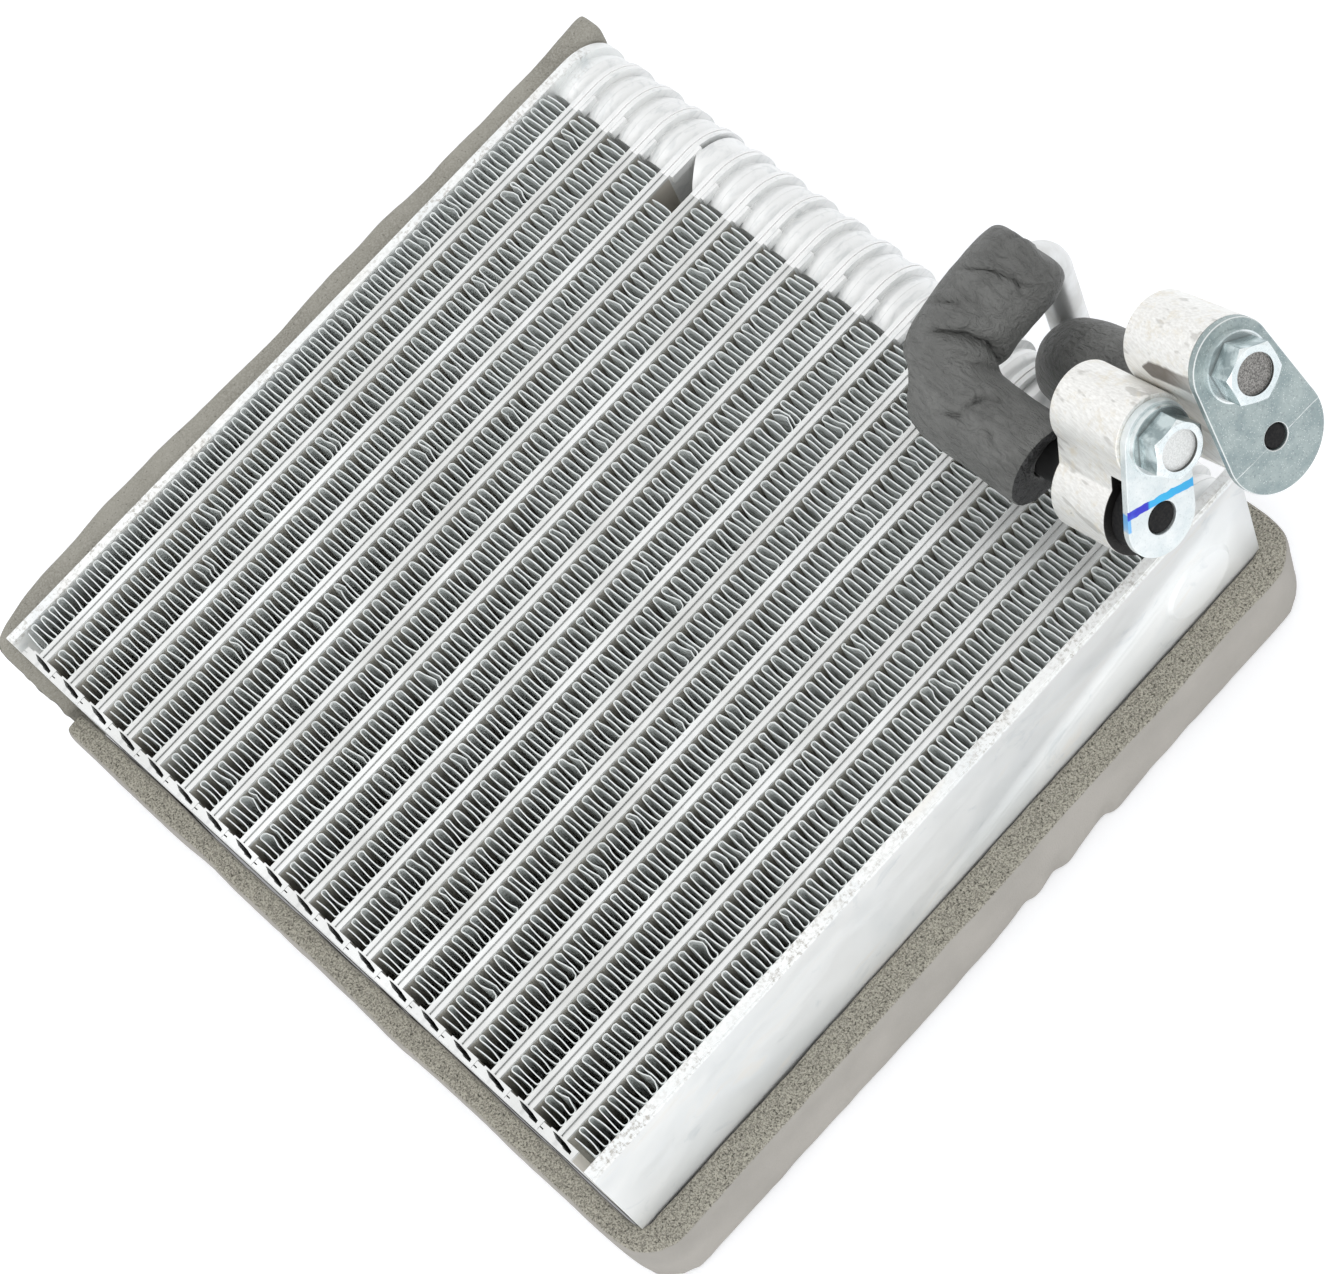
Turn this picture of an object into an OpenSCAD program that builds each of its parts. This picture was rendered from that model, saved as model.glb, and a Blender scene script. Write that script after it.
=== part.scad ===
// Laminated plate-fin evaporator core of a vehicle air conditioner, lying flat on its back face.
// +X runs along the stack of tubes, +Y along the tubes towards the header tank, and +Z through the
// core to its front face. The origin is the centre of the whole part's footprint, on the back face.

/* [Core] */
// Number of flat tubes in the stack
tube_count = 18; // [8:1:24]
// Distance from one tube to the next
tube_pitch = 11.4; // [10.5:0.1:13]
// Thickness of a tube, two pressed plates back to back
tube_thick = 3; // [2.6:0.1:4]
// Thickness of the sheet that the plates are pressed from
plate_wall = 0.5; // [0.4:0.1:0.8]
// Depth of the core in the direction of the air
core_depth = 67; // [60:1:90]
// Length of the finned field
fin_length = 197; // [150:1:240]
// Gap left by the brazed joint beside a fin and between two cups
braze_gap = 0.05; // [0.02:0.01:0.1]

/* [Fins] */
// Number of full waves in one strip of fin
fin_waves = 39; // [20:1:40]
// Thickness of the fin sheet
fin_thick = 0.15; // [0.1:0.05:0.4]

/* [Header tank] */
// Radius of the two round header lobes
lobe_radius = 15.5; // [13.5:0.1:16]
// Length of the header tank beyond the fins
tank_length = 23.4; // [20:0.2:26]
// Gap between the fins and the cups
tank_gap = 1; // [0.5:0.5:3]
// How far a cup stays inside the edge of its plate
cup_step = 0.9; // [0.5:0.1:2]
// Depth of the groove between a plate's edge and its cup
cup_groove = 2.3; // [1.5:0.1:3]
// Radius of the refrigerant passage through the cups
cup_bore = 8.6; // [5:0.2:9]
// Column without a front cup, where the pass of the refrigerant ends
blank_column = 5; // [2:1:7]

/* [Bottom hooks] */
// Height of the hooked end flange below the fins
hook_height = 3.2; // [2.8:0.1:5]
// Height of the slot inside the hook
hook_slot = 1.4; // [0.8:0.1:1.6]

/* [End plates] */
// Thickness of the two end plates
end_plate_thick = 2.6; // [1.5:0.1:4]
// Radius of the bead along the front edge of the right end plate
bead_radius = 0.6; // [0.3:0.1:1]
// Radius of the pressed dome in the right end plate
dome_radius = 12; // [8:1:14]
// Height of the pressed dome
dome_height = 1; // [0.5:0.1:2]

/* [Foam] */
// Thickness of the pad on the left side
pad_thick = 9.2; // [6:0.2:14]
// How far the pad stands past the bottom of the core
pad_overhang = 4.2; // [0:0.2:10]
// How far the pad's front edge stays below the front face
pad_recess = 2.4; // [0:0.2:10]
// Height of the strip that wraps round the right side
strip_height = 24; // [15:1:30]
// Thickness of the strip along the bottom
strip_bottom = 7.2; // [5:0.2:12]
// Thickness of the strip along the right side
strip_side = 9.7; // [6:0.1:12]
// Thickness of the strip along the header tank
strip_top = 8.3; // [5:0.1:12]
// Radius of the strip's outer corners
strip_corner = 14; // [10:1:18]
// Length of the strip along the header tank
strip_return = 28; // [15:1:34]
// Clearance between foam and metal
foam_gap = 0.2; // [0.1:0.1:0.4]

/* [Pipes] */
// Outer diameter of the two pipes
pipe_od = 10; // [8:0.5:10.5]
// Wall of the pipes
pipe_wall = 1; // [0.8:0.1:1.5]
// Outside diameter of the foam sleeve on pipe 1
sleeve_1_od = 21.2; // [18:0.2:21.6]
// Outside diameter of the foam sleeve on pipe 2
sleeve_2_od = 19.5; // [16:0.5:19.5]
// Clearance between a pipe and its sleeve
sleeve_gap = 0.3; // [0.2:0.1:0.5]
// Radius of the tight bends under sleeve 1
tight_bend = 11.2; // [10.9:0.1:12]
// Radius of the kink before block 1
kink_bend = 18; // [14:1:20]
// Radius of the bend in pipe 2
wide_bend = 22.5; // [16:0.5:22.5]
// Height of pipe 1's legs above the front face
leg_height = 30.5; // [28:0.5:34]
// Distance from the riser of pipe 1 to its cross leg
leg_back = 38.1; // [34:0.1:42]
// How much leg 1 rises towards its riser
leg_rise = 12; // [8:0.5:14]
// Distance from the riser of pipe 1 to the kink before its block
leg_cross = 36.4; // [35:0.1:42]
// Distance from the kink to the back of block 1
kink_reach = 12; // [11:0.5:16]
// Height of the corner of pipe 2 above the front face
corner_height = 15.5; // [15.5:0.5:20]
// Distance from the corner of pipe 2 to the back of its block
leg_2_cross = 52.7; // [50:0.1:60]
// Tilt of block 1 above the X axis, in degrees
tilt_1 = 21.4; // [15:0.2:30]
// Tilt of block 2 above the X axis, in degrees
tilt_2 = 27; // [20:0.2:32]
// Turn of block 1 about its port, in degrees
roll_1 = 27; // [10:1:40]
// Turn of block 2 about its port, in degrees
roll_2 = 3; // [0:1:15]

/* [Connector blocks] */
// Length of a block along its port
block_length = 23; // [20:1:30]
// Radius of block 1 round its port
port_lobe_1 = 11.5; // [10:0.1:12]
// Radius of block 2 round its port
port_lobe_2 = 10.8; // [10:0.1:11.5]
// Radius of block 1 round its bolt
bolt_lobe_1 = 10; // [9.8:0.1:10.5]
// Radius of block 2 round its bolt
bolt_lobe_2 = 10.8; // [9.8:0.1:11.5]
// Radius of the hollow waist between the lobes
waist_radius = 14; // [12:0.5:24]
// Distance from the port to the bolt in block 1
spacing_1 = 20; // [19.5:0.1:22]
// Distance from the port to the bolt in block 2
spacing_2 = 22.6; // [21:0.1:24]
// Step of the port face below the bolt face
port_step = 4.4; // [2:0.2:5]
// Radius of the open port
port_radius = 6.2; // [5.8:0.1:6.6]
// Depth of the open port
port_depth = 10; // [8:0.5:10.5]
// Length of pipe seated in the block
pipe_seat = 8; // [6:0.5:9]

/* [Shipping caps] */
// Thickness of the cap plates
cap_thick = 2; // [1.5:0.1:3]
// Radius of cap plate 1 round the port
cap_1_port = 9.6; // [9:0.1:12]
// Radius of cap plate 1 round the bolt
cap_1_bolt = 9; // [8.6:0.1:10]
// Radius of the vent hole in cap plate 1
cap_1_hole = 4; // [3:0.1:5]
// Radius of cap plate 2 round the port
cap_2_port = 13.5; // [11:0.1:15]
// Radius of cap plate 2 round the bolt
cap_2_bolt = 10.8; // [9:0.1:12]
// Radius of the vent hole in cap plate 2
cap_2_hole = 3.2; // [2.5:0.1:5]
// Thread radius of the cap bolts
bolt_radius = 4; // [3:0.5:4]
// Width across the flats of the bolt heads
bolt_flats = 13; // [10:0.5:14]
// Height of the bolt heads with their flange
bolt_head = 7.6; // [6:0.2:9]
// Radius of the flange under the bolt heads
bolt_flange = 8.3; // [7.8:0.1:8.8]
// Length of the bolts below their heads
bolt_length = 20; // [14:1:22]
// Radius of the rubber plugs' flange
plug_flange = 9.4; // [7.5:0.1:9.5]

/* [Hidden] */
function two(i) = i < 10 ? str("0", i) : str(i);
TUBE_NODES = [for (i = [1:tube_count]) str("tube_", two(i))];
FIN_NODES = [for (i = [1:tube_count + 1]) str("fin_", two(i))];
OTHER_NODES = ["left_end_plate", "right_end_plate", "left_foam_pad", "right_foam_strip",
               "pipe_1_boss", "pipe_1", "pipe_2", "sleeve_1", "sleeve_2", "block_1", "block_2",
               "cap_plate_1", "cap_plate_2", "cap_bolt_1", "cap_bolt_2", "port_plug_1", "port_plug_2"];

$fn = 64;
over = 1;

// Places along the tubes
core_length = hook_height + fin_length + tank_length;
y_bottom = -core_length / 2;
y_fins = y_bottom + hook_height;
y_tank = y_fins + fin_length + tank_gap;
y_end = core_length / 2;
y_lobe = y_end - lobe_radius;
y_passage = (y_tank + y_end) / 2;
z_back = lobe_radius;
z_front = core_depth - lobe_radius;

// Places across the stack
fin_height = tube_pitch - tube_thick;
plate_face = (tube_count + 1) / 2 * tube_pitch - tube_thick / 2;
side_face = plate_face + end_plate_thick;
function tube_x(i) = (i - (tube_count - 1) / 2) * tube_pitch;
function fin_x(i) = (i - tube_count / 2) * tube_pitch;
cup_reach = tube_pitch / 2 - braze_gap / 2;
blank_tube = blank_column - 2;
snout_1_tube = tube_count - 5;
snout_2_tube = tube_count - 4;

// The edge of a tube shows its two plates with a seam between them
seam_width = 0.5;
seam_depth = 0.6;
rim = 3;
channel = tube_thick - 2 * plate_wall;
turn_depth = 15;
closed_gap = 1;
closed_slant = 55;
closed_foot = 1.8;
tab_length = 5.5;
tab_thick = 1;
tab_depth = 3;
hook_web = 0.9;
hook_wall = 1.1;
hook_shoulder = 3.4;
fin_end_gap = 0.4;
fin_recess = 0.6;
blank_drop = 6;

// Pipe routes, with the height of each point measured from the back face
pipe_r = pipe_od / 2;
sleeve_1_r = sleeve_1_od / 2;
sleeve_2_r = sleeve_2_od / 2;
sleeve_end = 6.8;
sleeve_2_gap = 4.5;
riser_1 = [tube_x(snout_1_tube), y_end + pipe_r + 0.5];
riser_2 = [tube_x(snout_2_tube), y_lobe + 11];
boss_height = 22;
boss_half = 8;
boss_foot = 7;
boss_seat = 12;
port_share = 0.58;
snout_wall = 1.2;
snout_rise = 1;
snout_seat = 9;
seat_gap = 0.3;
bend_thinning = 0.03;
bend_lap = 0.4;
tuck = 0.03;
axis_1 = [cos(tilt_1), 0, sin(tilt_1)];
axis_2 = [cos(tilt_2), 0, sin(tilt_2)];
corner_1 = [riser_1.x, riser_1.y, core_depth + leg_height + leg_rise];
corner_2 = [riser_1.x, riser_1.y - leg_back, core_depth + leg_height];
corner_3 = [riser_1.x + leg_cross, corner_2.y, corner_2.z];
block_1_point = corner_3 + kink_reach * axis_1;
corner_4 = [riser_2.x, riser_2.y, core_depth + corner_height];
block_2_point = corner_4 + leg_2_cross * axis_2;
cap_1_point = block_1_point + (block_length + cap_thick) * axis_1;
cap_2_point = block_2_point + (block_length + cap_thick) * axis_2;
route_1 = [[riser_1.x, riser_1.y, boss_height - boss_seat + seat_gap], corner_1, corner_2, corner_3,
           block_1_point + (pipe_seat - seat_gap) * axis_1];
bends_1 = [0, tight_bend, tight_bend, kink_bend, 0];
route_2 = [[riser_2.x, riser_2.y, core_depth - snout_seat + snout_rise + seat_gap], corner_4,
           block_2_point + (pipe_seat - seat_gap) * axis_2];
bends_2 = [0, wide_bend, 0];

// The whole part's footprint, from the left pad to cap plate 2 and from the strip to the boss
foot_left = -side_face - foam_gap - pad_thick;
foot_right = cap_2_point.x + cap_2_port * sin(tilt_2);
foot_near = y_bottom - foam_gap - strip_bottom;
foot_far = riser_1.y + boss_half;
foot_middle = [(foot_left + foot_right) / 2, (foot_near + foot_far) / 2, 0];

function unit(v) = v / norm(v);
function side_of(v) = unit(cross(v, abs(v.z) < 0.9 ? [0, 0, 1] : [1, 0, 0]));
function turn_angle(a, b, c) = acos(unit(b - a) * unit(c - b));
function setback(a, b, c, radius) = radius * tan(turn_angle(a, b, c) / 2);
function towards(p, q, distance) = p + distance * unit(q - p);

module placed(origin, x, z) {
    y = cross(z, x);
    multmatrix([[x.x, y.x, z.x, origin.x],
                [x.y, y.y, z.y, origin.y],
                [x.z, y.z, z.z, origin.z],
                [0, 0, 0, 1]]) children();
}

// A straight round bar from p to q
module bar(p, q, r) {
    placed(p, side_of(unit(q - p)), unit(q - p)) cylinder(h = norm(q - p), r = r);
}

// A round bend of the given radius at b, on the way from a to c, drawn thin by the bending
module bend(a, b, c, radius, r) {
    u = unit(b - a);
    v = unit(c - b);
    n = unit(v - (u * v) * u);
    start = b - setback(a, b, c, radius) * u;
    placed(start + radius * n, -n, cross(-n, u))
        rotate_extrude(angle = turn_angle(a, b, c)) translate([radius, 0]) circle(r = r - bend_thinning);
}

// A bar along all points of a route, with a bend at each inner point
module along(route, bends, r) {
    last = len(route) - 1;
    cuts = [for (i = [0:last]) i == 0 || i == last ? 0
            : setback(route[i - 1], route[i], route[i + 1], bends[i])];
    for (i = [0:last - 1])
        bar(towards(route[i], route[i + 1], cuts[i] - (cuts[i] > 0 ? bend_lap : 0)),
            towards(route[i + 1], route[i], cuts[i + 1] - (cuts[i + 1] > 0 ? bend_lap : 0)), r);
    for (i = [1:last - 1])
        bend(route[i - 1], route[i], route[i + 1], bends[i], r);
}

// The same route, lengthened at both ends so that it cuts clean through
function lengthened(route) =
    let (last = len(route) - 1)
    [for (i = [0:last]) i == 0 ? towards(route[0], route[1], -over)
     : i == last ? towards(route[last], route[last - 1], -over) : route[i]];

// Turns a shape drawn in the Y-Z plane of the core into a slab from x0, t thick
module slab(x0, t) {
    translate([x0, 0, 0]) rotate([90, 0, 90]) linear_extrude(height = t) children();
}

// Outline of a pressed plate with its two round header lobes, set in from the edge by inset
module plate_outline(inset) {
    translate([y_fins - hook_web + inset, inset])
        square([y_lobe - y_fins + hook_web - inset, core_depth - 2 * inset]);
    for (z = [z_back, z_front]) translate([y_lobe, z]) circle(r = lobe_radius - inset);
}

// Half of a cup joint, a groove and then a smooth crown: radius of the cup against its distance from the tube's face
function cup_profile(reach) = [
    [0, lobe_radius - cup_groove],
    [0.3, lobe_radius - cup_groove],
    [0.7, lobe_radius - cup_groove + 0.4],
    [1.1, lobe_radius - cup_step - 0.95],
    [1.6, lobe_radius - cup_step - 0.6],
    [2.2, lobe_radius - cup_step - 0.3],
    [3.0, lobe_radius - cup_step - 0.1],
    [reach, lobe_radius - cup_step]];

// A drawn cup round the lobe's centre, flat towards the fins, rising by reach towards +X
module cup(z, reach) {
    outline = concat([[0, 0]], [for (p = cup_profile(reach)) [p.y, p.x]], [[0, reach]]);
    intersection() {
        translate([0, y_lobe, z]) rotate([90, 0, 90]) rotate_extrude() polygon(outline);
        translate([0, y_tank, z - lobe_radius]) cube([reach, 2 * lobe_radius, 2 * lobe_radius]);
    }
}

// The closed cup beside the blank column, with a slanted side above the fins
module closed_cup(z, reach) {
    difference() {
        cup(z, reach);
        translate([closed_foot, y_tank, z - lobe_radius - over]) rotate([0, 0, closed_slant])
            translate([0, -reach, 0]) cube([2 * reach, reach, 2 * (lobe_radius + over)]);
    }
}

// The passage of the refrigerant through a header lobe between two places along X
module passage(z, x0, x1) {
    translate([x0, y_passage, z]) rotate([0, 90, 0]) cylinder(h = x1 - x0, r = cup_bore);
}

// The hooked flange at the tube's bottom end, closed round a slanted slot
module hook() {
    half = tube_pitch / 2 - braze_gap;
    slot_top = y_fins - hook_web - 0.1;
    slot_end = half - hook_wall;
    linear_extrude(height = core_depth) difference() {
        translate([-half, y_bottom]) square([2 * half, hook_height - 0.5]);
        polygon([[-2.6, slot_top], [-1.2, slot_top + 0.15], [2.0, slot_top - 0.1],
                 [slot_end - 0.2, slot_top - 0.6], [slot_end, slot_top - hook_slot],
                 [2.2, slot_top - hook_slot], [1.7, slot_top - hook_slot + 0.3], [-0.6, slot_top - 0.9]]);
        translate([-half - over, y_fins - hook_web]) square([half - hook_shoulder + over, hook_web]);
        translate([-half - over, y_bottom + 0.8]) square([over + 1.1, 0.3]);
    }
}

// One flat tube: two pressed plates, cups on both faces, a U-shaped channel and the end hook
module tube(i) {
    face = tube_thick / 2;
    open_right = i != blank_tube;
    open_left = i != blank_tube + 1;
    reach = cup_reach - face;
    color("gainsboro") translate([tube_x(i), 0, 0]) difference() {
        union() {
            slab(-face, face - seam_width / 2) plate_outline(0);
            slab(seam_width / 2, face - seam_width / 2) plate_outline(0);
            slab(-seam_width / 2, seam_width) plate_outline(seam_depth);
            translate([face, 0, 0]) {
                cup(z_back, reach);
                if (open_right) cup(z_front, reach);
            }
            mirror([1, 0, 0]) translate([face, 0, 0]) {
                cup(z_back, reach);
                if (open_left) cup(z_front, reach);
                else closed_cup(z_front, tube_pitch - tube_thick - closed_gap);
            }
            hook();
            translate([face, y_tank - tank_gap + 0.3, core_depth - tab_depth])
                cube([tab_thick, open_right ? tab_length : 2 * tab_length, tab_depth - 0.2]);
            if (i == snout_2_tube) snout();
        }
        passage(z_back, -cup_reach - over, cup_reach + over);
        passage(z_front, open_left ? -cup_reach - over : -channel / 2,
                open_right ? cup_reach + over : channel / 2);
        slab(-channel / 2, channel) flow_channel();
        if (i == snout_2_tube) snout_bore();
        if (i == snout_1_tube) boss_bore();
    }
}

// The U-shaped way of the refrigerant: up behind, down in front, round the bottom
module flow_channel() {
    centre = core_depth / 2;
    difference() {
        translate([y_fins + rim, rim]) square([y_passage - y_fins - rim, core_depth - 2 * rim]);
        translate([y_fins + rim + turn_depth, centre - rim / 2]) square([fin_length + tank_length, rim]);
    }
}

// The drawn neck on the front lobe that takes pipe 2
module snout() {
    r = pipe_r + snout_wall;
    half = cup_reach;
    translate([0, riser_2.y, core_depth + 0.3]) cylinder(h = snout_rise - 0.3, r = r);
    intersection() {
        translate([0, riser_2.y, core_depth - lobe_radius]) cylinder(h = lobe_radius + 0.3, r = r);
        translate([-half, riser_2.y - r, 0]) cube([2 * half, 2 * r, 2 * core_depth]);
    }
}

module snout_bore() {
    translate([0, riser_2.y, core_depth + snout_rise - snout_seat])
        cylinder(h = snout_seat + over, r = pipe_r + 0.05);
    translate([0, riser_2.y, core_depth - lobe_radius])
        cylinder(h = lobe_radius, r = pipe_r - pipe_wall);
}

// The hole in the rear lobe behind the brazed boss of pipe 1
module boss_bore() {
    translate([0, y_passage, z_back]) rotate([-90, 0, 0])
        cylinder(h = y_end + over - y_passage, r = pipe_r - pipe_wall);
}

// One strip of corrugated fin, folded from one sheet between two tubes
module fin(i) {
    cut = i == blank_column - 1 ? blank_drop : 0;
    length = fin_length - 2 * fin_end_gap - cut;
    step = length / (2 * fin_waves);
    lean = fin_thick / 2 / sin(atan(step / fin_height));
    reach = fin_height / 2 - braze_gap - lean;
    fold = [for (k = [0:2 * fin_waves]) [k % 2 == 0 ? -reach : reach, y_fins + fin_end_gap + k * step]];
    color("silver") translate([fin_x(i), 0, 0]) linear_extrude(height = core_depth - fin_recess)
        polygon(concat([for (p = fold) p - [lean, 0]],
                       [for (k = [len(fold) - 1:-1:0]) fold[k] + [lean, 0]]));
}

// The cups pressed into an end plate, facing the stack
module end_cups() {
    for (z = [z_back, z_front]) cup(z, fin_height - (cup_reach - tube_thick / 2) - braze_gap);
}

module left_end_plate() {
    color("whitesmoke") translate([-side_face, 0, 0]) {
        slab(0, end_plate_thick) {
            plate_outline(0);
            translate([y_bottom, 0]) square([hook_height, core_depth]);
        }
        translate([end_plate_thick, 0, 0]) end_cups();
    }
}

module right_end_plate() {
    color("whitesmoke") translate([side_face, 0, 0]) {
        slab(-end_plate_thick, end_plate_thick)
            translate([y_bottom, 0]) square([core_length, core_depth]);
        mirror([1, 0, 0]) translate([end_plate_thick, 0, 0]) end_cups();
        translate([0, y_bottom, core_depth - bead_radius - 0.4]) rotate([-90, 0, 0])
            cylinder(h = core_length, r = bead_radius);
        translate([-over, y_end - dome_radius - 8, core_depth * 0.57]) rotate([0, 90, 0])
            cylinder(h = over + dome_height, r1 = dome_radius, r2 = dome_radius - 2 * dome_height);
    }
}

// Foam pad on the left side, nearly as deep as the core
module left_foam_pad() {
    color("dimgray") translate([-side_face - foam_gap - pad_thick, y_bottom - pad_overhang, 0])
        cube([pad_thick, core_length + pad_overhang, core_depth - pad_recess]);
}

// Outline of the strip's outer side, with round corners at the right
module strip_outer() {
    x1 = side_face + foam_gap + strip_side;
    y0 = y_bottom - foam_gap - strip_bottom;
    y1 = y_end + foam_gap + strip_top;
    x0 = -side_face;
    translate([x0, y0]) square([x1 - x0 - strip_corner, y1 - y0]);
    translate([x0, y0 + strip_corner]) square([x1 - x0, y1 - y0 - 2 * strip_corner]);
    for (y = [y0 + strip_corner, y1 - strip_corner])
        translate([x1 - strip_corner, y]) circle(r = strip_corner);
}

// Foam strip along the bottom, round the right side and back along the tank
module right_foam_strip() {
    color("dimgray") linear_extrude(height = strip_height) difference() {
        strip_outer();
        translate([-side_face - over, y_bottom - foam_gap])
            square([2 * side_face + foam_gap + over, core_length + 2 * foam_gap]);
        translate([-side_face - over, 0])
            square([2 * side_face - strip_return + over, core_length]);
        translate([-side_face - over, y_bottom - 2 * strip_bottom]) square([end_plate_thick + over, 3 * strip_bottom]);
    }
}

// Brazed boss that carries the riser of pipe 1 on the rear header lobe
module pipe_1_boss() {
    color("lightgray") translate([riser_1.x, 0, 0]) difference() {
        union() {
            translate([0, riser_1.y, boss_foot]) cylinder(h = boss_height - boss_foot, r = boss_half);
            translate([-boss_half, y_end - 3, boss_foot])
                cube([2 * boss_half, riser_1.y - y_end + 3, boss_height - boss_foot]);
        }
        slab(-boss_half - over, 2 * (boss_half + over)) {
            translate([y_lobe, z_back]) circle(r = lobe_radius + braze_gap);
        }
        translate([0, riser_1.y, boss_height - boss_seat])
            cylinder(h = boss_seat + over, r = pipe_r + 0.05);
        translate([0, y_lobe, z_back]) rotate([-90, 0, 0])
            cylinder(h = riser_1.y - y_lobe, r = pipe_r - pipe_wall);
    }
}

// A drawn aluminium pipe along a route
module pipe(route, bends) {
    color("silver") difference() {
        along(route, bends, pipe_r);
        along(lengthened(route), bends, pipe_r - pipe_wall);
    }
}

// A foam sleeve over a part of a pipe: its own way, and that of the pipe inside
module sleeve(cover, cover_bends, r, route, bends) {
    color("darkslategray") difference() {
        along(cover, cover_bends, r);
        along(lengthened(route), bends, pipe_r + sleeve_gap);
    }
}

module sleeve_1() {
    sleeve([towards(corner_1, corner_2, sleeve_end), corner_2, towards(corner_3, corner_2, 1.5)],
           [0, tight_bend, 0], sleeve_1_r, route_1, bends_1);
}

module sleeve_2() {
    sleeve([[riser_2.x, riser_2.y, core_depth + snout_rise + seat_gap], corner_4,
            towards(block_2_point, corner_4, sleeve_2_gap)], bends_2, sleeve_2_r, route_2, bends_2);
}

// Local frame of a connector: +Z along the port and outwards, +X from the port to the bolt
module at_connector(point, tilt, roll) {
    translate(point) rotate([0, 90 - tilt, 0]) rotate([0, 0, 180 - roll]) children();
}

// Section of the extruded block: two lobes joined by a hollow waist
module block_section(spacing, port_lobe, bolt_lobe) {
    p = port_lobe + waist_radius;
    b = bolt_lobe + waist_radius;
    x = (spacing * spacing + p * p - b * b) / (2 * spacing);
    y = sqrt(p * p - x * x);
    tangent_x = spacing - (spacing - x) * bolt_lobe / b;
    tangent_y = y * bolt_lobe / b - over;
    circle(r = port_lobe);
    translate([spacing, 0]) circle(r = bolt_lobe);
    difference() {
        translate([0, -tangent_y]) square([tangent_x + over, 2 * tangent_y]);
        for (side = [-y, y]) translate([x, side]) circle(r = waist_radius + 3 * tuck);
    }
}

// A connector block, sawn from an extrusion, with its back at the local origin
module block(spacing, port_lobe, bolt_lobe) {
    face = block_length - port_step;
    color("gainsboro") difference() {
        linear_extrude(height = block_length) block_section(spacing, port_lobe, bolt_lobe);
        translate([-2 * port_lobe, -2 * port_lobe, face])
            cube([2 * port_lobe + spacing * port_share, 4 * port_lobe, port_step + over]);
        translate([0, 0, face - port_depth]) cylinder(h = port_depth + over, r = port_radius);
        translate([0, 0, -over]) cylinder(h = pipe_seat + over, r = pipe_r + 0.05);
        translate([0, 0, over]) cylinder(h = face - over, r = pipe_r - pipe_wall);
        translate([spacing, 0, -over]) cylinder(h = block_length + 2 * over, r = bolt_radius + 0.1);
    }
}

// A cap plate: two round ends joined by straight sides, its back at the local origin
module cap_plate(spacing, port, bolt, hole) {
    lean = asin((port - bolt) / spacing);
    color("lightsteelblue") linear_extrude(height = cap_thick) difference() {
        union() {
            circle(r = port);
            translate([spacing, 0]) circle(r = bolt);
            polygon([for (s = [1, -1]) [port * sin(lean), s * (port - tuck) * cos(lean)],
                     for (s = [-1, 1]) [spacing + bolt * sin(lean), s * (bolt - tuck) * cos(lean)]]);
        }
        circle(r = hole);
        translate([spacing, 0]) circle(r = bolt_radius + 0.3);
    }
}

// Hexagon flange bolt with a dished head, its seat at the local origin
module cap_bolt(spacing) {
    flange = 1.6;
    color("lightsteelblue") translate([spacing, 0, 0]) {
        translate([0, 0, -bolt_length]) cylinder(h = bolt_length, r = bolt_radius);
        cylinder(h = flange, r = bolt_flange);
        difference() {
            intersection() {
                cylinder(h = bolt_head, r = bolt_flats / 2 / cos(30), $fn = 6);
                cylinder(h = bolt_head, r1 = bolt_flats / 2 + bolt_head * 2, r2 = bolt_flats / 2);
            }
            translate([0, 0, bolt_head - 0.7]) cylinder(h = 0.7 + over, r = bolt_flats * 0.38);
        }
    }
}

// Rubber plug of a port, with its flange on the stepped port face
module port_plug() {
    color("#202020") {
        translate([0, 0, -port_step]) cylinder(h = port_step - braze_gap, r = plug_flange);
        translate([0, 0, -port_step - port_depth + 2]) cylinder(h = port_depth - 2, r = port_radius - 0.1);
    }
}

module in_frame() {
    translate(-foot_middle) children();
}

module at_cap_1(height) {
    at_connector(block_1_point + (block_length + height) * axis_1, tilt_1, roll_1) children();
}

module at_cap_2(height) {
    at_connector(block_2_point + (block_length + height) * axis_2, tilt_2, roll_2) children();
}

for (i = [0:tube_count - 1]) in_frame() tube(i);
for (i = [0:tube_count]) in_frame() fin(i);
in_frame() left_end_plate();
in_frame() right_end_plate();
in_frame() left_foam_pad();
in_frame() right_foam_strip();
in_frame() pipe_1_boss();
in_frame() pipe(route_1, bends_1);  // pipe_1
in_frame() pipe(route_2, bends_2);  // pipe_2
in_frame() sleeve_1();
in_frame() sleeve_2();
in_frame() at_cap_1(-block_length) block(spacing_1, port_lobe_1, bolt_lobe_1);  // block_1
in_frame() at_cap_2(-block_length) block(spacing_2, port_lobe_2, bolt_lobe_2);  // block_2
in_frame() at_cap_1(0) cap_plate(spacing_1, cap_1_port, cap_1_bolt, cap_1_hole);  // cap_plate_1
in_frame() at_cap_2(0) cap_plate(spacing_2, cap_2_port, cap_2_bolt, cap_2_hole);  // cap_plate_2
in_frame() at_cap_1(cap_thick) cap_bolt(spacing_1);  // cap_bolt_1
in_frame() at_cap_2(cap_thick) cap_bolt(spacing_2);  // cap_bolt_2
in_frame() at_cap_1(0) port_plug();  // port_plug_1
in_frame() at_cap_2(0) port_plug();  // port_plug_2
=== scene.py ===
import math
import random

import bpy
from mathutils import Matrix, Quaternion, Vector, noise


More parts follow.
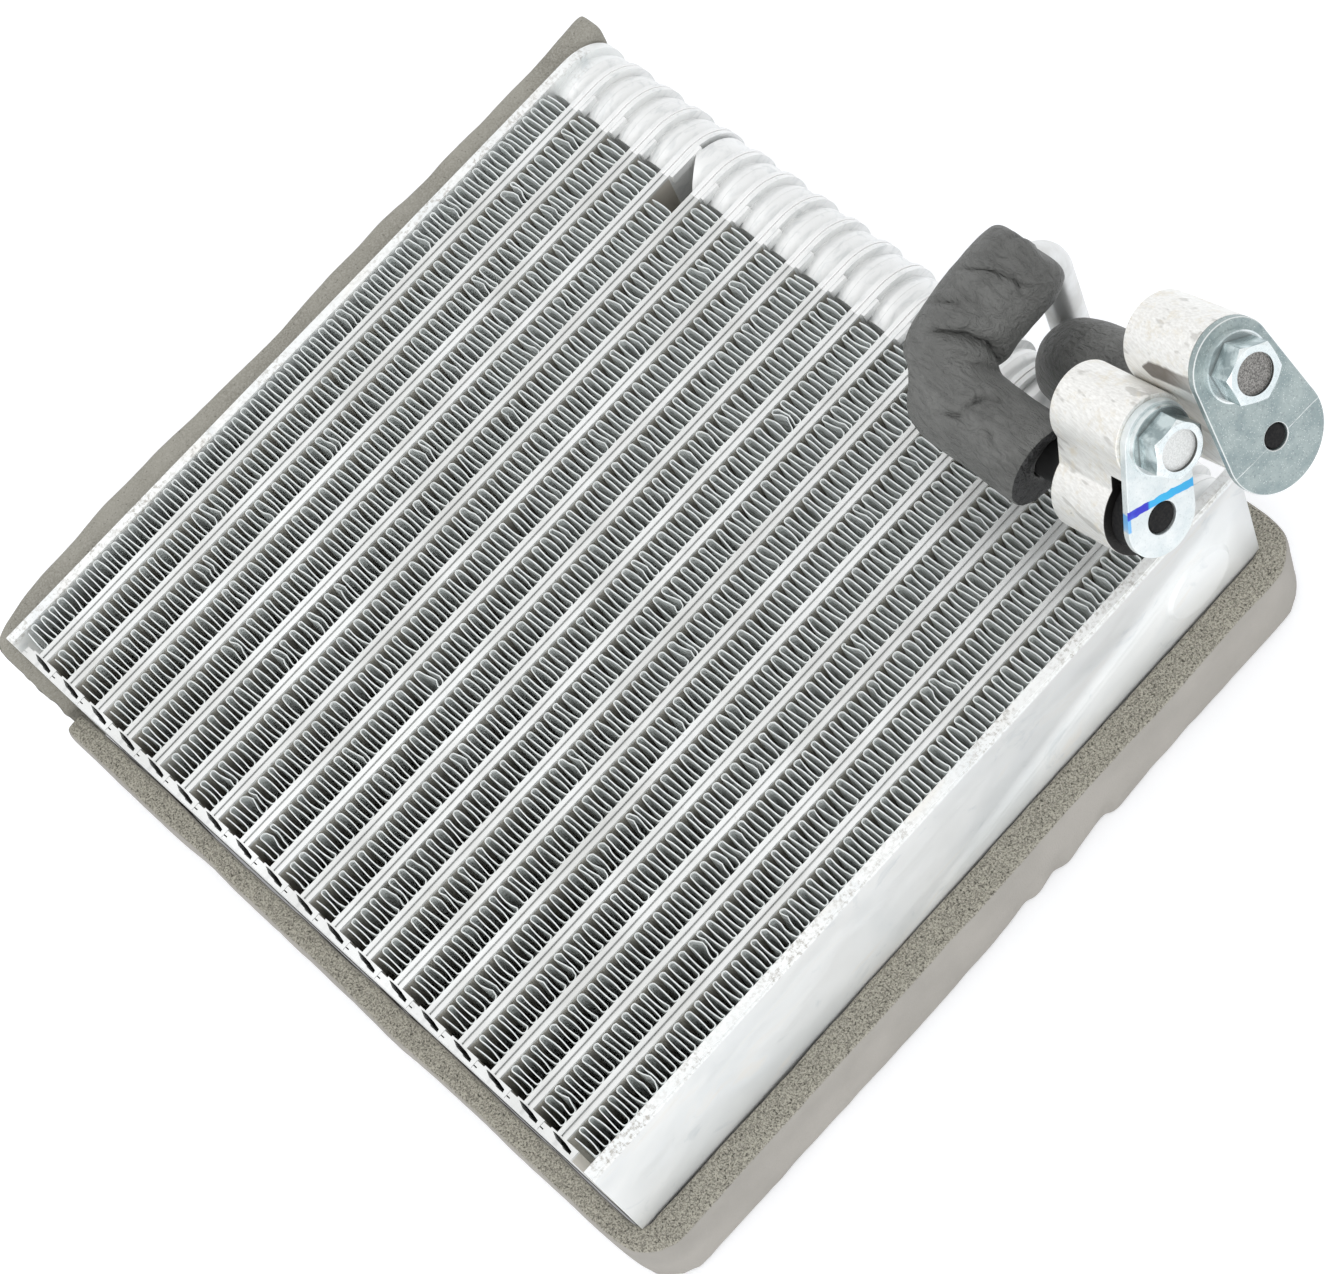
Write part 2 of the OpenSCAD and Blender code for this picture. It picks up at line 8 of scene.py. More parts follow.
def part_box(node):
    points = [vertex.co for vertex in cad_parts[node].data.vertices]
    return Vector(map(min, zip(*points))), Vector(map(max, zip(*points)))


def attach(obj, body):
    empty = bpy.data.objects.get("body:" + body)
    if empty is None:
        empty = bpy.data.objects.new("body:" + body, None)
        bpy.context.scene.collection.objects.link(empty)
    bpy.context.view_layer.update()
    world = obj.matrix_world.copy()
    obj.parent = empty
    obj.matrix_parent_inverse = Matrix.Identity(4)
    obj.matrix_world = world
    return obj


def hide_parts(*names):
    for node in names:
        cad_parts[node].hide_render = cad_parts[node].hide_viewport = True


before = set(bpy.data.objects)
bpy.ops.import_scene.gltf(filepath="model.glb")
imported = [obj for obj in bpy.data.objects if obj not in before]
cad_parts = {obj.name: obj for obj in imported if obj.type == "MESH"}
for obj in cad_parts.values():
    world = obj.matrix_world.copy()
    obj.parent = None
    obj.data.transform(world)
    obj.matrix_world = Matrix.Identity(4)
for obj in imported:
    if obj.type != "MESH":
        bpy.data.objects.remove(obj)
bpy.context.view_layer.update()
MM = 0.001

# The core, as in the solids, in metres
TUBES = [n for n in sorted(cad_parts) if n.startswith("tube_")]
FINS = [n for n in sorted(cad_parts) if n.startswith("fin_")]
CORE_DEPTH = 67 * MM
TUBE_PITCH = 11.4 * MM
TUBE_MIDDLE = sum(c[0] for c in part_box("tube_09")) / 2
FIN_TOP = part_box("fin_01")[1][1]

# Fins: a wave is two limbs joined by a round loop
WAVES = 61
FIN_SHEET = 0.28 * MM
LIMB_POINTS = 5
LOOP_POINTS = 4
FIN_ROWS = 3
NICKS = 5
FIN_SEED = 100
# How uneven a wave is: its drift and lean, its even and uneven bow, and how much a limb may fall short
DRIFT, LEAN, BOW, UNEVEN_BOW, SHORTNESS = 0.13, 0.16, 0.16, 0.14, 0.025

# Foam: the length of the pad's thin lower end, and the strip's gathers by place along y and depth in mm
PAD_TAPER = 32 * MM
GATHERS = ((37.0, 1.9), (19.0, 1.7), (8.5, 1.2))

# Connector axes, the middle of each cap plate's port and of each bolt's top, in the frame
TILT_1 = math.radians(21.4)
TILT_2 = math.radians(27)
ROLL_1 = math.radians(27)
ROLL_2 = math.radians(3)
PORT_1 = Vector((112.52, 76.15, 111.0)) * MM
PORT_2 = Vector((122.30, 104.25, 117.78)) * MM
BOLT_TOPS = (Vector((113.09, 85.24, 130.37)) * MM, Vector((118.82, 105.43, 141.35)) * MM)
# Cap plates: thickness, radius of each hole, and how far a plug's button stays below the face and off the hole
CAP_THICK = 2 * MM
HOLE_1 = 4.0 * MM
HOLE_2 = 3.2 * MM
BUTTON_SINK = 0.4 * MM
BUTTON_GAP = 0.2 * MM
# Where the painted shade in the waist of block 2 is darkest
PAINTED_WAIST_SHADE_2 = Vector((99.5, 95.4, 135.3)) * MM

# Camera of the photograph
CAMERA_PLACE = Vector((413.76, -122.37, 822.12)) * MM
CAMERA_AIM = Vector((4.475, -4.125, 40.0)) * MM
CAMERA_ROLL = math.radians(-32.74)
CAMERA_LENS = 97.1

# Light: the tent's strength at its foot and top, and each lamp's place, size in metres and watts
TENT_FOOT = 0.90
TENT_TOP = 0.88
TENT_HEIGHT = 0.75
TENT_COLOUR = (0.97, 0.985, 1.0)
LAMPS = {"key": ((-0.6, -0.1, 1.1), 0.7, 1.3), "fill": ((1.1, -0.7, 0.6), 0.9, 4.0)}
LAMP_AIM = Vector((0, 0, 0.04))
TABLE_SIZE = 6.0
TABLE_DROP = 0.0002
TABLE_GLOW = (0.30, 0.302, 0.31)

# Pipe 1 under its sleeve, where its legs would meet, and how far short of the first its sleeve ends, in mm
ROUTE_1 = [Vector((41.67, 114.25, 109.5)), Vector((41.67, 76.15, 97.5)), Vector((78.07, 76.15, 97.5))]
LEG_1 = (ROUTE_1[0] - ROUTE_1[1]).normalized()
SLEEVE_1_END = 6.8

# The last leg of pipe 2: its axis, the back of its block, and how far short of that its sleeve ends, in mm
AXIS_2 = Vector((math.cos(TILT_2), 0, math.sin(TILT_2)))
BLOCK_2_BACK = Vector((100.03, 104.25, 106.43))
SLEEVE_2_END = 4.5


# Shader maths

class Value:
    """A node's output socket that takes Python's operators."""

    def __init__(self, nodes, socket):
        self.nodes = nodes
        self.socket = socket

    def maths(self, operation, *others):
        return self.nodes.add("Math", {"operation": operation}, *others)

    def __add__(self, other):
        return self.maths("ADD", self, other)

    def __sub__(self, other):
        return self.maths("SUBTRACT", self, other)

    def __rsub__(self, other):
        return self.maths("SUBTRACT", other, self)

    def __mul__(self, other):
        return self.maths("MULTIPLY", self, other)

    def __gt__(self, other):
        return self.maths("GREATER_THAN", self, other)

    def __lt__(self, other):
        return self.maths("LESS_THAN", self, other)

    def __abs__(self):
        return self.maths("ABSOLUTE", self)

    def larger(self, other):
        return self.maths("MAXIMUM", self, other)

    def between(self, low, high, new_low=0.0, new_high=1.0):
        """The value's way from low to high, as a value from new_low to new_high."""
        return self.nodes.add("MapRange", {}, self, low, high, new_low, new_high)


class Nodes:
    """A node tree under construction."""

    def __init__(self, tree):
        self.tree = tree

    def link(self, value, socket):
        """Joins a value to a socket, or sets the socket to a constant."""
        if isinstance(value, Value):
            self.tree.links.new(value.socket, socket)
        elif socket.type == "RGBA" and len(value) == 3:
            socket.default_value = (*value, 1.0)
        else:
            socket.default_value = value

    def add(self, kind, settings, *values, output=0, **named):
        """Adds a node with its settings and the values of its inputs, and gives one of its outputs."""
        node = self.tree.nodes.new("ShaderNode" + kind)
        for key, value in settings.items():
            setattr(node, key, value)
        for socket, value in zip(node.inputs, values):
            self.link(value, socket)
        for key, value in named.items():
            self.link(value, node.inputs[key.replace("_", " ")])
        return Value(self, node.outputs[output])

    def vectors(self, operation, *values, output="Vector"):
        """Maths on whole vectors."""
        return self.add("VectorMath", {"operation": operation}, *values, output=output)

    def part(self, vector, axis):
        """One of a vector's X, Y and Z."""
        return self.add("SeparateXYZ", {}, vector, output="XYZ".index(axis))

    def seen(self):
        """1 for rays from the camera, off a gloss or through glass, and 0 for all others."""
        camera, gloss, glass = [self.add("LightPath", {}, output=f"Is {kind} Ray")
                                for kind in ("Camera", "Glossy", "Transmission")]
        return camera.larger(gloss).larger(glass)


class Finish(Nodes):
    """A material under construction."""

    def __init__(self, name, roughness, metallic=0.0, **constants):
        self.material = bpy.data.materials.new(name)
        self.material.use_nodes = True
        super().__init__(self.material.node_tree)
        self.shader = self.tree.nodes["Principled BSDF"]
        self.place = self.add("TexCoord", {}, output="Object")
        self.facing = self.add("NewGeometry", {}, output="Normal")
        self.set(Roughness=roughness, Metallic=metallic, **constants)

    def noise(self, scale, detail=3.0, roughness=0.5, at=None, distortion=0.0):
        """Noise with blotches about 1 / scale metres wide."""
        return self.add("TexNoise", {}, Vector=at or self.place, Scale=scale, Detail=detail,
                        Roughness=roughness, Distortion=distortion)

    def cells(self, scale):
        """Distance from scattered points, about 1 / scale metres apart."""
        return self.add("TexVoronoi", {}, Vector=self.place, Scale=scale)

    def stretched(self, x, y, z, turn=(0, 0, 0)):
        """Object coordinates, stretched so that a pattern runs along one way."""
        return self.add("Mapping", {}, Vector=self.place, Scale=(x, y, z), Rotation=turn)

    def away_from(self, origin):
        """Object coordinates, counted from another origin."""
        return self.vectors("SUBTRACT", self.place, tuple(origin))

    def along(self, direction, origin):
        """How far a point lies along a direction from an origin, in metres."""
        return self.vectors("DOT_PRODUCT", self.away_from(origin), tuple(direction), output="Value")

    def off_axis(self, direction, origin):
        """Distance from an axis, in metres."""
        crossed = self.vectors("CROSS_PRODUCT", self.away_from(origin), tuple(direction))
        return self.vectors("LENGTH", crossed, output="Value")

    def turned_to(self, direction):
        """1 where the surface faces a direction, 0 where it is square to it."""
        return self.vectors("DOT_PRODUCT", self.facing, tuple(direction), output="Value")

    def mix(self, amount, first, second):
        """Two colours mixed. The node's colour sockets are its inputs 6 and 7 and its output 2."""
        node = self.tree.nodes.new("ShaderNodeMix")
        node.data_type = "RGBA"
        self.link(amount, node.inputs[0])
        self.link(first, node.inputs[6])
        self.link(second, node.inputs[7])
        return Value(self, node.outputs[2])

    def set(self, **values):
        """Gives the shader its values."""
        for key, value in values.items():
            self.link(value, self.shader.inputs[key.replace("_", " ")])

    def bump(self, height, distance, strength):
        self.set(Normal=self.add("Bump", {}, Height=height, Distance=distance, Strength=strength))


# Finishes

def tube_aluminium():
    """Flux-brazed sheet: matt silver with fine pale grit, greyer in its seam hollows by painted shade between
    the fins, and whitest on the tank's seams by painted light.
    """
    f = Finish("brazed tube aluminium", roughness=0.48, metallic=0.55)
    blotch = f.noise(35, 4)
    fine = f.noise(700, 3)
    streak = f.noise(260, 3, at=f.stretched(1, 0.12, 1))
    colour = f.mix(blotch.between(0.40, 0.66), (0.80, 0.81, 0.805), (0.70, 0.705, 0.69))
    colour = f.mix(streak.between(0.55, 0.72, 0, 0.45), colour, (0.60, 0.60, 0.58))
    colour = f.mix(fine.between(0.62, 0.8, 0, 0.4), colour, (0.50, 0.49, 0.46))
    off_seam = abs(f.add("Math", {"operation": "WRAP"}, f.part(f.place, "X") - TUBE_MIDDLE,
                         TUBE_PITCH / 2, -TUBE_PITCH / 2))
    low_down = f.part(f.place, "Y") < FIN_TOP
    # The tank is whiter, and its seams there take painted light, whitest of all, against the shade of their
    # grooves
    tank = 1 - low_down
    scuff = f.noise(420, 4, at=f.stretched(1, 0.4, 1, (0.4, 0, 0.6)), distortion=0.8)
    white = f.mix(scuff.between(0.50, 0.70), (0.91, 0.915, 0.91), (0.77, 0.785, 0.785))
    colour = f.mix(tank * 0.85, colour, white)
    colour = f.mix(tank * off_seam.between(0.3 * MM, 0.6 * MM, 1, 0), colour, (0.97, 0.97, 0.965))
    # Between the fins a grey line of painted shade runs along each seam groove, and the plates' sides are
    # brownish
    painted_seam_shade = off_seam.between(0.25 * MM, 0.75 * MM, 1, 0) * blotch.between(0.35, 0.6, 0.12, 0.4) * low_down
    colour = f.mix(painted_seam_shade, colour, (0.46, 0.47, 0.47))
    wall = abs(f.part(f.facing, "X")).between(0.75, 0.95) * low_down
    wall = wall * f.part(f.place, "Z").between(CORE_DEPTH - 0.4 * MM, CORE_DEPTH - 1.4 * MM)
    colour = f.mix(wall * 0.7, colour, (0.56, 0.51, 0.43))
    f.set(Base_Color=colour, Roughness=blotch.between(0.3, 0.7, 0.40, 0.55))
    f.bump(f.noise(1100, 2) * 0.5 + blotch, 0.00008, 0.6)
    return f.material


def fin_aluminium():
    """Fin sheet: a painted light tone along its front edge and the first millimetres of its limbs, louvred
    behind.
    """
    f = Finish("fin sheet", roughness=0.5, metallic=0.2)
    height = f.part(f.place, "Z")
    # Painted light: by depth below the front, the front edge and the first millimetres of each limb take a
    # tone of their own
    lit = height.between(CORE_DEPTH - 7 * MM, CORE_DEPTH - 1.2 * MM)
    blotch = f.noise(90, 3)
    colour = f.mix(blotch.between(0.35, 0.65), (0.90, 0.925, 0.915), (0.80, 0.825, 0.81))
    painted_light_tone = f.mix(f.noise(400, 2).between(0.35, 0.65), (0.90, 0.925, 0.915), (0.74, 0.77, 0.76))
    colour = f.mix(lit, colour, painted_light_tone)
    louvre = f.add("TexWave", {"wave_type": "BANDS", "bands_direction": "Z"}, Vector=f.place, Scale=160.0,
                   output="Fac")
    f.set(Base_Color=colour, Roughness=blotch.between(0.3, 0.7, 0.42, 0.58))
    f.bump(louvre, 0.0002, 0.5)
    return f.material


def end_plate_aluminium():
    """Rolled sheet: nearly white, matt, with cloudy marks and a rough scuffed front edge."""
    f = Finish("end plate aluminium", roughness=0.5, metallic=0.3)
    blotch = f.noise(22, 4, distortion=0.8)
    swirl = f.noise(110, 4, at=f.stretched(1, 0.3, 1, (0.5, 0, 0)), distortion=1.2)
    scratch = f.noise(700, 2, at=f.stretched(1, 0.05, 1, (0.9, 0, 0)))
    colour = f.mix(blotch.between(0.40, 0.62), (0.95, 0.957, 0.945), (0.865, 0.885, 0.885))
    colour = f.mix(swirl.between(0.58, 0.70, 0, 0.6), colour, (0.90, 0.87, 0.82))
    smear = f.noise(60, 6, 0.65, distortion=1.5)
    colour = f.mix(smear.between(0.58, 0.68, 0, 0.45), colour, (0.68, 0.72, 0.74))
    colour = f.mix(scratch.between(0.66, 0.76, 0, 0.5), colour, (0.94, 0.95, 0.95))
    rim = f.part(f.place, "Z").between(CORE_DEPTH - 2.6 * MM, CORE_DEPTH - 0.8 * MM)
    grit = f.noise(900, 5, 0.7)
    patch = f.noise(70, 3).between(0.45, 0.65, 0.25, 1.0)
    colour = f.mix(rim * patch * grit.between(0.48, 0.62), colour, (0.52, 0.50, 0.465))
    f.set(Base_Color=colour, Roughness=swirl.between(0.35, 0.7, 0.42, 0.56))
    f.bump(blotch + scratch.between(0.7, 0.8, 0, 0.25) + rim * grit * 0.4, 0.0005, 0.4)
    return f.material


def pad_foam():
    """The left pad: fine closed foam with a smooth olive-grey skin, and painted shade, near black, over its
    lower end.
    """
    f = Finish("seal pad foam", roughness=0.95, Specular_IOR_Level=0.12)
    grain = f.noise(1900, 3, 0.6)
    cloud = f.noise(60, 4)
    colour = f.mix(cloud.between(0.35, 0.7), (0.36, 0.345, 0.30), (0.275, 0.262, 0.225))
    colour = f.mix(grain.between(0.42, 0.70), colour, (0.43, 0.41, 0.365))
    colour = f.mix(f.noise(1500, 2).between(0.62, 0.72, 0, 0.6), colour, (0.12, 0.115, 0.10))
    # Painted shade: the lower end, facing down the core, is painted near black
    torn = f.part(f.facing, "Y").between(-0.35, -0.75)
    f.set(Base_Color=f.mix(torn * 0.8, colour, (0.075, 0.07, 0.06)))
    f.bump(grain * 0.5 + cloud + f.cells(2100) * 0.3, 0.0005, 0.5)
    return f.material


def strip_foam():
    """The strip: coarse open grain on its cut front, a paler rolled skin outside."""
    f = Finish("seal strip foam", roughness=0.95, Specular_IOR_Level=0.12)
    up = f.part(f.facing, "Z")
    cut = up.between(0.45, 0.8)
    grain = f.noise(2100, 3, 0.7)
    pore = f.cells(2200)
    cloud = f.noise(40, 4)
    face = f.mix(grain.between(0.40, 0.60), (0.225, 0.213, 0.18), (0.53, 0.502, 0.422))
    face = f.mix((pore < 0.17) * 0.8, face, (0.64, 0.61, 0.54))
    face = f.mix(f.noise(1700, 2).between(0.58, 0.66, 0, 0.8), face, (0.06, 0.055, 0.044))
    # A short split in the lower run
    split = abs(f.along((1, 0, 0), (0.1005, 0, 0)) + (f.noise(90, 2) - 0.5) * (2.2 * MM))
    here = f.part(f.place, "Y").between(-0.098, -0.094) * f.part(f.place, "Y").between(-0.066, -0.072)
    face = f.mix(split.between(0.16 * MM, 0.3 * MM, 0.9, 0) * here, face, (0.03, 0.03, 0.028))
    skin = f.mix(cloud.between(0.35, 0.7), (0.46, 0.435, 0.40), (0.385, 0.365, 0.335))
    skin = f.mix(grain.between(0.55, 0.8, 0, 0.35), skin, (0.34, 0.325, 0.30))
    f.set(Base_Color=f.mix(cut, skin, face))
    f.bump(grain * cut + cloud * 0.5 + f.noise(1800, 2) * 0.25, 0.0007, 0.6)
    return f.material


def sleeve_foam():
    """Closed black foam with a leathery skin: fine wrinkles, dull dust and a few pale specks, and painted
    shade, near black, on the open end of sleeve 1.
    """
    f = Finish("pipe sleeve foam", roughness=0.5, Specular_IOR_Level=0.6)
    grain = f.noise(1500, 3, 0.6)
    blotch = f.noise(90, 4)
    wrinkle = f.noise(430, 4, at=f.stretched(0.4, 1, 1), distortion=1.4)
    dust = f.noise(240, 5).between(0.58, 0.75, 0, 0.35)
    speck = f.noise(1100, 1).between(0.80, 0.84, 0, 0.7)
    colour = f.mix(blotch.between(0.35, 0.65), (0.108, 0.109, 0.103), (0.170, 0.171, 0.163))
    colour = f.mix(dust, colour, (0.21, 0.208, 0.20))
    colour = f.mix(speck, colour, (0.34, 0.33, 0.31))
    # Painted shade: the open end of sleeve 1, beside block 1, is painted near black
    painted_shade_mouth_1 = f.along((1, 0, 0), (76.2 * MM, 0, 0)).between(0, 0.3 * MM) * (f.part(f.facing, "X") > 0.55)
    colour = f.mix(painted_shade_mouth_1, colour, (0.012, 0.012, 0.012))
    f.set(Base_Color=colour, Roughness=blotch.between(0.3, 0.7, 0.44, 0.64))
    f.bump(grain * 0.3 + blotch * 0.8 + wrinkle * 1.6, 0.0014, 0.9)
    return f.material


def pipe_aluminium():
    """Drawn pipe, painted black as shade beside the blocks, where the sleeves' ends are open."""
    f = Finish("drawn pipe aluminium", roughness=0.35, metallic=0.75)
    blotch = f.noise(120, 4)
    # Painted shade: past x = 70 mm the pipe is painted black, and is not metal there
    painted_shade_near_blocks = f.part(f.place, "X") > 70 * MM
    colour = f.mix(blotch.between(0.4, 0.65), (0.80, 0.81, 0.81), (0.66, 0.66, 0.645))
    f.set(Base_Color=f.mix(painted_shade_near_blocks, colour, (0.015, 0.015, 0.015)), Metallic=painted_shade_near_blocks.between(0, 1, 0.75, 0),
          Roughness=blotch.between(0.3, 0.7, 0.28, 0.45))
    f.bump(f.noise(800, 2), 0.0001, 0.4)
    return f.material


def block_aluminium(name, axis, port, painted_waist_shade_at):
    """Sawn extrusion: fine lines along its length, cream stains, scratches, and painted shade in the waist of
    block 2.
    """
    f = Finish(name, roughness=0.4, metallic=0.6)
    turn = (0, math.atan2(axis.z, axis.x), 0)
    lines = f.noise(2200, 3, at=f.stretched(0.05, 1, 1, turn))
    drawn = f.noise(420, 2, at=f.stretched(0.02, 1, 1, turn))
    stain = f.noise(230, 6, 0.7)
    colour = f.mix(lines.between(0.35, 0.65, 0, 0.8), (0.95, 0.945, 0.92), (0.78, 0.77, 0.74))
    colour = f.mix(drawn.between(0.62, 0.68, 0, 0.6), colour, (0.50, 0.485, 0.455))
    colour = f.mix(stain.between(0.52, 0.70, 0, 0.7), colour, (0.76, 0.70, 0.575))
    colour = f.mix(f.noise(800, 4, 0.7).between(0.66, 0.72, 0, 0.6), colour, (0.38, 0.365, 0.34))
    # Painted shade: the step round the port is painted black
    level = f.along(axis, port)
    painted_shade_step = (level < -6.1 * MM) * (level > -6.8 * MM) * f.turned_to(axis).between(0.4, 0.8)
    colour = f.mix(painted_shade_step, colour, (0.018, 0.017, 0.016))
    # Painted shade: a dark band along the waist of block 2
    if painted_waist_shade_at:
        far = f.along(axis, painted_waist_shade_at)
        off = abs(f.along((-axis.z, 0, axis.x), painted_waist_shade_at)) + (f.noise(300, 2) - 0.5) * (0.8 * MM)
        half = far.between(-6.6 * MM, -3.6 * MM, 0, 2.0 * MM)
        dark = (off - half).between(0.2 * MM, -0.4 * MM) * far.between(18 * MM, 2 * MM, 0.25, 1)
        dark = dark * (f.part(f.place, "Y") < port.y - 5 * MM) * (far > -6.4 * MM)
        colour = f.mix(dark * 0.9, colour, (0.12, 0.10, 0.082))
    f.set(Base_Color=colour, Roughness=stain.between(0.3, 0.7, 0.34, 0.55))
    f.bump(lines + drawn, 0.00016, 0.6)
    return f.material


def zinc(name, dark, pale, metallic=0.6, pits=0.5):
    """Zinc plating and its colour: blue-grey and cloudy, with pale speckle and fine pits."""
    f = Finish(name, roughness=0.42, metallic=metallic)
    speck = f.cells(1900)
    cloud = f.noise(170, 5, 0.6)
    base = f.mix(cloud.between(0.38, 0.62), dark, pale)
    colour = f.mix((speck < 0.17) * 0.8, base, (0.84, 0.88, 0.87))
    colour = f.mix(f.noise(1700, 2).between(0.58, 0.68, 0, pits), colour, (0.22, 0.25, 0.26))
    f.set(Base_Color=colour, Roughness=cloud.between(0.3, 0.7, 0.36, 0.54))
    f.bump(f.noise(1500, 2) + speck * 0.3, 0.0001, 0.6)
    return f, colour


def cap_frame(tilt, roll):
    """Directions of a cap plate: from the port to the bolt, across, and outwards."""
    out = Vector((math.cos(tilt), 0, math.sin(tilt)))
    up = Vector((-math.sin(tilt), 0, math.cos(tilt)))
    bolt = math.cos(roll) * up + math.sin(roll) * Vector((0, 1, 0))
    return bolt, out.cross(bolt), out


def cap_1_zinc():
    """Cap plate 1 carries a painted stripe between its hole and its bolt, with a small run at one end."""
    f, plating = zinc("cap plate zinc, painted", (0.70, 0.76, 0.77), (0.84, 0.875, 0.875), pits=0.15)
    bolt, across, out = cap_frame(TILT_1, ROLL_1)
    place = PORT_1 + bolt * 4.9 * MM
    u = f.along(across, place)
    v = f.along(bolt, place) + (f.noise(420, 3) - 0.5) * (1.1 * MM) + u * 0.07
    stripe = abs(v).between(0.95 * MM, 1.1 * MM, 1, 0) * f.along(out, PORT_1).between(-0.4 * MM, -0.2 * MM)
    run = abs(u - 9.2 * MM).between(0.3 * MM, 0.5 * MM, 1, 0)
    run = run * abs(v + 2.0 * MM).between(2.0 * MM, 2.3 * MM, 1, 0)
    paint = f.mix(u.between(3.2 * MM, 3.9 * MM), (0.03, 0.50, 0.90), (0.02, 0.025, 0.60))
    paint = f.mix(f.noise(260, 3).between(0.5, 0.62, 0, 0.25), paint, (0.08, 0.30, 0.92))
    colour = f.mix(run * 0.8, plating, (0.06, 0.42, 0.88))
    f.set(Base_Color=f.mix(stripe, colour, paint), Metallic=stripe.between(0, 1, 0.6, 0.0))
    return f.material


def cap_2_zinc():
    """Cap plate 2 has one long fine scratch through its hole, and a painted highlight on its rim."""
    f, plating = zinc("cap plate zinc, scratched", (0.29, 0.355, 0.36), (0.41, 0.475, 0.47))
    bolt, _, out = cap_frame(TILT_2, ROLL_2)
    bent = f.along(bolt, PORT_2 - bolt * 0.6 * MM) + (f.noise(60, 2) - 0.5) * (1.2 * MM)
    scratch = 1 - abs(bent).between(0.05 * MM, 0.11 * MM)
    scratch = scratch * f.noise(330, 2).between(0.38, 0.55, 0.25, 0.85)
    square_on = f.turned_to(out)
    # Painted highlight: the bevelled rim is painted pale
    rim = square_on.between(0.98, 0.86) * square_on.between(0.15, 0.5)
    colour = f.mix(rim * 0.8, plating, (0.86, 0.88, 0.87))
    f.set(Base_Color=f.mix(scratch, colour, (0.92, 0.93, 0.92)))
    return f.material


def bolt_zinc(number, tilt, roll, dish_dark, dish_pale):
    """Bolts: pale plating on the ring and the flange, painted shade on the six flats with painted highlights
    on their edges, painted shade at the foot of the head and inside the lip of the dished face.
    """
    f, plating = zinc(f"bolt {number} zinc", (0.68, 0.75, 0.76), (0.84, 0.88, 0.88), metallic=0.8, pits=0.2)
    bolt, across, out = cap_frame(tilt, roll)
    top = BOLT_TOPS[number - 1]
    head_tall, inside_flats, flange_radius, dish_radius = 5.85 * MM, 6 * MM, 7.9 * MM, 4.9 * MM
    level = f.along(out, top)
    square_on = f.turned_to(out)
    off = f.off_axis(out, top)
    angle = f.add("Math", {"operation": "ARCTAN2"}, f.turned_to(across), f.turned_to(bolt)) * 6.0
    corner = f.add("Math", {"operation": "COSINE"}, angle).between(-0.2, 0.5)
    flat = square_on.between(0.5, 0.2) * (level > -head_tall - 0.15 * MM) * (off > inside_flats)
    # Painted shade and highlight: the six flats are painted darker, and the edges between them pale
    side = f.mix(f.noise(260, 3).between(0.42, 0.58), (0.30, 0.37, 0.38), (0.60, 0.69, 0.70))
    colour = f.mix(flat * (1 - corner), plating, side)
    colour = f.mix(flat * corner, colour, (0.93, 0.95, 0.95))
    # Painted shade: a dark line at the foot of the head, where it meets the flange
    foot = abs(level + head_tall).between(0.05 * MM, 0.35 * MM, 1, 0) * (off < flange_radius)
    colour = f.mix(foot * 0.7, colour, (0.13, 0.15, 0.15))
    dish = (off < dish_radius) * (level < -0.3 * MM)
    grain = f.noise(2600, 4, 0.7)
    colour = f.mix(dish, colour, f.mix(grain.between(0.40, 0.60), dish_dark, dish_pale))
    # Painted shade: a dark ring inside the lip of the dish
    lip = abs(off - dish_radius - 0.1 * MM).between(0.1 * MM, 0.4 * MM, 1, 0)
    lip = lip * (level > -0.9 * MM) * square_on.between(0.9, 0.4)
    colour = f.mix(lip, colour, (0.12, 0.12, 0.115))
    f.set(Base_Color=colour, Roughness=dish.between(0, 1, 0.26, 0.6))
    f.bump(grain * dish + f.noise(1500, 2) * 0.1, 0.00025, 0.6)
    return f.material


def plug_rubber():
    """Black moulded rubber."""
    f = Finish("plug rubber", roughness=0.7, Specular_IOR_Level=0.2)
    grain = f.noise(1400, 3)
    f.set(Base_Color=f.mix(grain.between(0.4, 0.7), (0.009, 0.009, 0.010), (0.022, 0.021, 0.020)))
    f.bump(grain, 0.0001, 0.5)
    return f.material


# Modelling helpers

def only(piece):
    """Selects one object alone and makes it the active one."""
    bpy.ops.object.select_all(action="DESELECT")
    piece.select_set(True)
    bpy.context.view_layer.objects.active = piece


def modify(piece, kind, **settings):
    """Adds a modifier to a piece and applies it."""
    only(piece)
    modifier = piece.modifiers.new(kind.lower(), kind)
    for key, value in settings.items():
        setattr(modifier, key, value)
    bpy.ops.object.modifier_apply(modifier=modifier.name)


def copy_of(node, name):
    """A merged copy of a solid's mesh, as an object of its own."""
    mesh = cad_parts[node].data.copy()
    piece = bpy.data.objects.new(name, mesh)
    bpy.context.scene.collection.objects.link(piece)
    mesh.materials.clear()
    only(piece)
    bpy.ops.object.mode_set(mode="EDIT")
    bpy.ops.mesh.select_all(action="SELECT")
    bpy.ops.mesh.remove_doubles(threshold=0.00001)
    bpy.ops.mesh.dissolve_limited(angle_limit=math.radians(0.4))
    bpy.ops.object.mode_set(mode="OBJECT")
    return piece


def dress(piece, material, node):
    """Gives a finished piece its material and body, and hides the solid that it stands for."""
    piece.data.materials.clear()
    piece.data.materials.append(material)
    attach(piece, "root")
    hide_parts(node)
    return piece


def smooth(piece, angle):
    """Shades a piece smooth, apart from edges sharper than an angle in degrees."""
    only(piece)
    bpy.ops.object.shade_smooth_by_angle(angle=math.radians(angle))


def refined(node, name, material, edge, angle=35):
    """A solid with its edges broken, as pressing, sawing and plating leave them."""
    piece = copy_of(node, name)
    smooth(piece, angle)
    modify(piece, "BEVEL", width=edge, segments=2, limit_method="ANGLE",
           angle_limit=math.radians(angle), use_clamp_overlap=True, harden_normals=True)
    return dress(piece, material, node)


